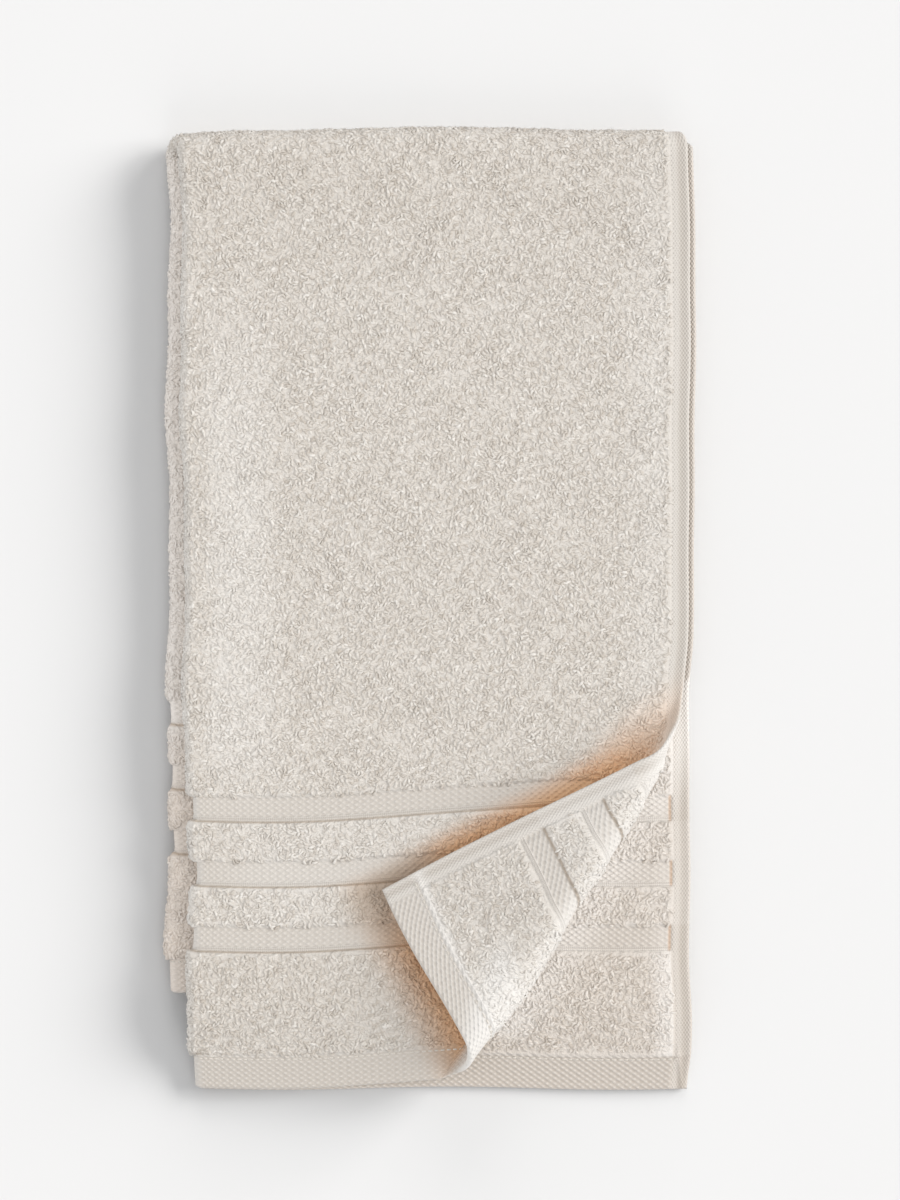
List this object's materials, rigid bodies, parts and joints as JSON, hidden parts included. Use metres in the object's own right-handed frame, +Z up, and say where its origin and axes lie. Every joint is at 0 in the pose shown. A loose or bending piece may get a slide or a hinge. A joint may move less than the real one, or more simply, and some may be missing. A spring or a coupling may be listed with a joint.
{
  "type": "folded hand towel",
  "caption": "Terry hand towel folded in half lengthwise and crosswise, with flat woven bands and hems and one front corner turned over.",
  "frame": {"origin": "middle of the folded towel's footprint, on the surface it lies on", "axes": "+X across the fold towards the selvedges, +Y from the hems to the crosswise fold, +Z up"},
  "size_m": [0.2642, 0.478, 0.0434],
  "materials": {
    "terry_cotton": "matte undyed cotton with a looped pile"
  },
  "bodies": {
    "root": {"towel": "terry_cotton"}
  },
  "joints": []
}
